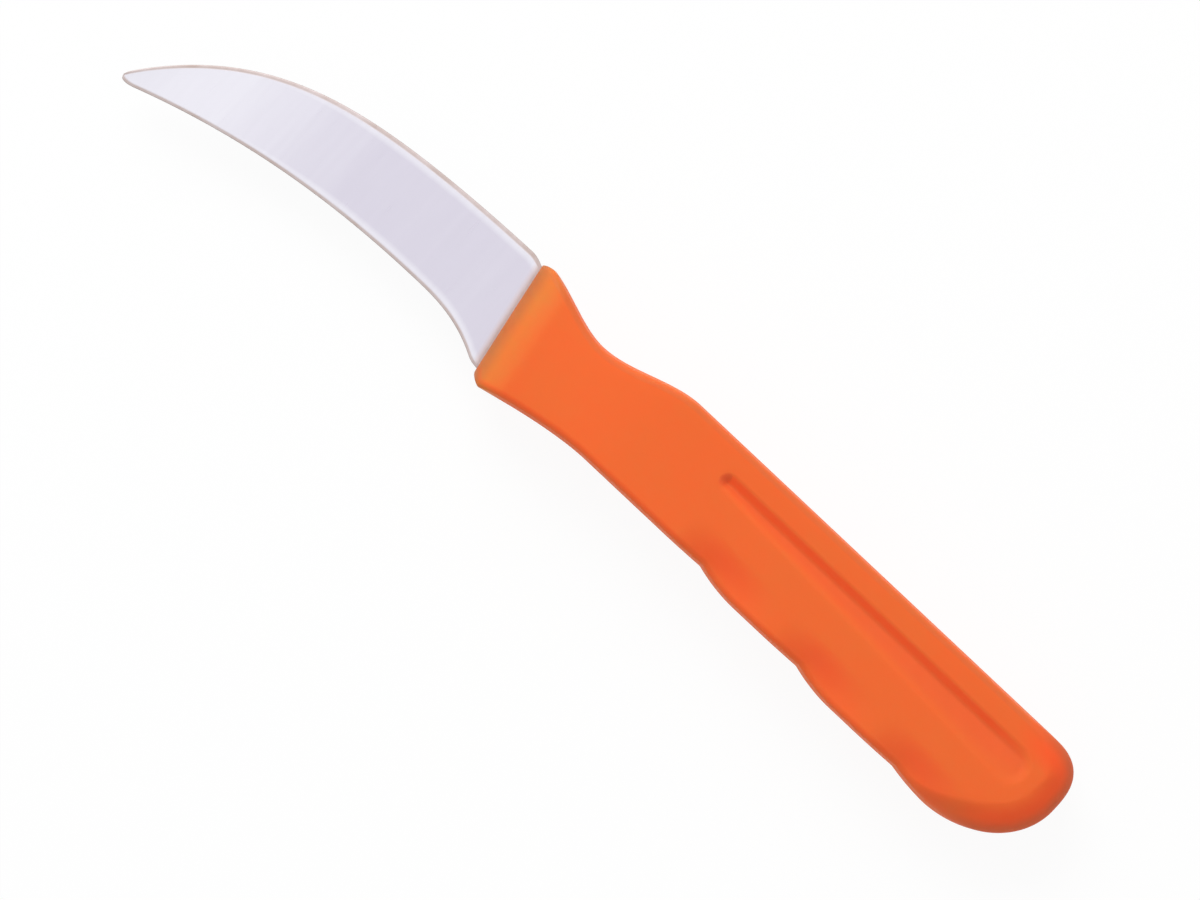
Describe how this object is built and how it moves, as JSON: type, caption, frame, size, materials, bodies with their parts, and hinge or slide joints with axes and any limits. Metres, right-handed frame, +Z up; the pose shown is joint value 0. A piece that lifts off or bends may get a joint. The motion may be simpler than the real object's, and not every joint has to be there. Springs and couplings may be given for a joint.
{
  "type": "mushroom knife",
  "caption": "Small knife with a curved, concave-edged steel blade moulded into a plastic handle with finger steps, for trimming and cleaning mushrooms.",
  "frame": {"origin": "middle of the knife's footprint on the surface that it lies on, with the knife on its side", "axes": "+X from the blade's tip to the handle's butt, +Y from the cutting edge to the spine, +Z up out of the side that faces up"},
  "size_m": [0.1696, 0.0228, 0.014],
  "materials": {
    "steel": "satin ground stainless",
    "plastic": "satin moulded polypropylene"
  },
  "bodies": {
    "root": {"blade": "steel", "handle": "plastic"}
  },
  "joints": []
}
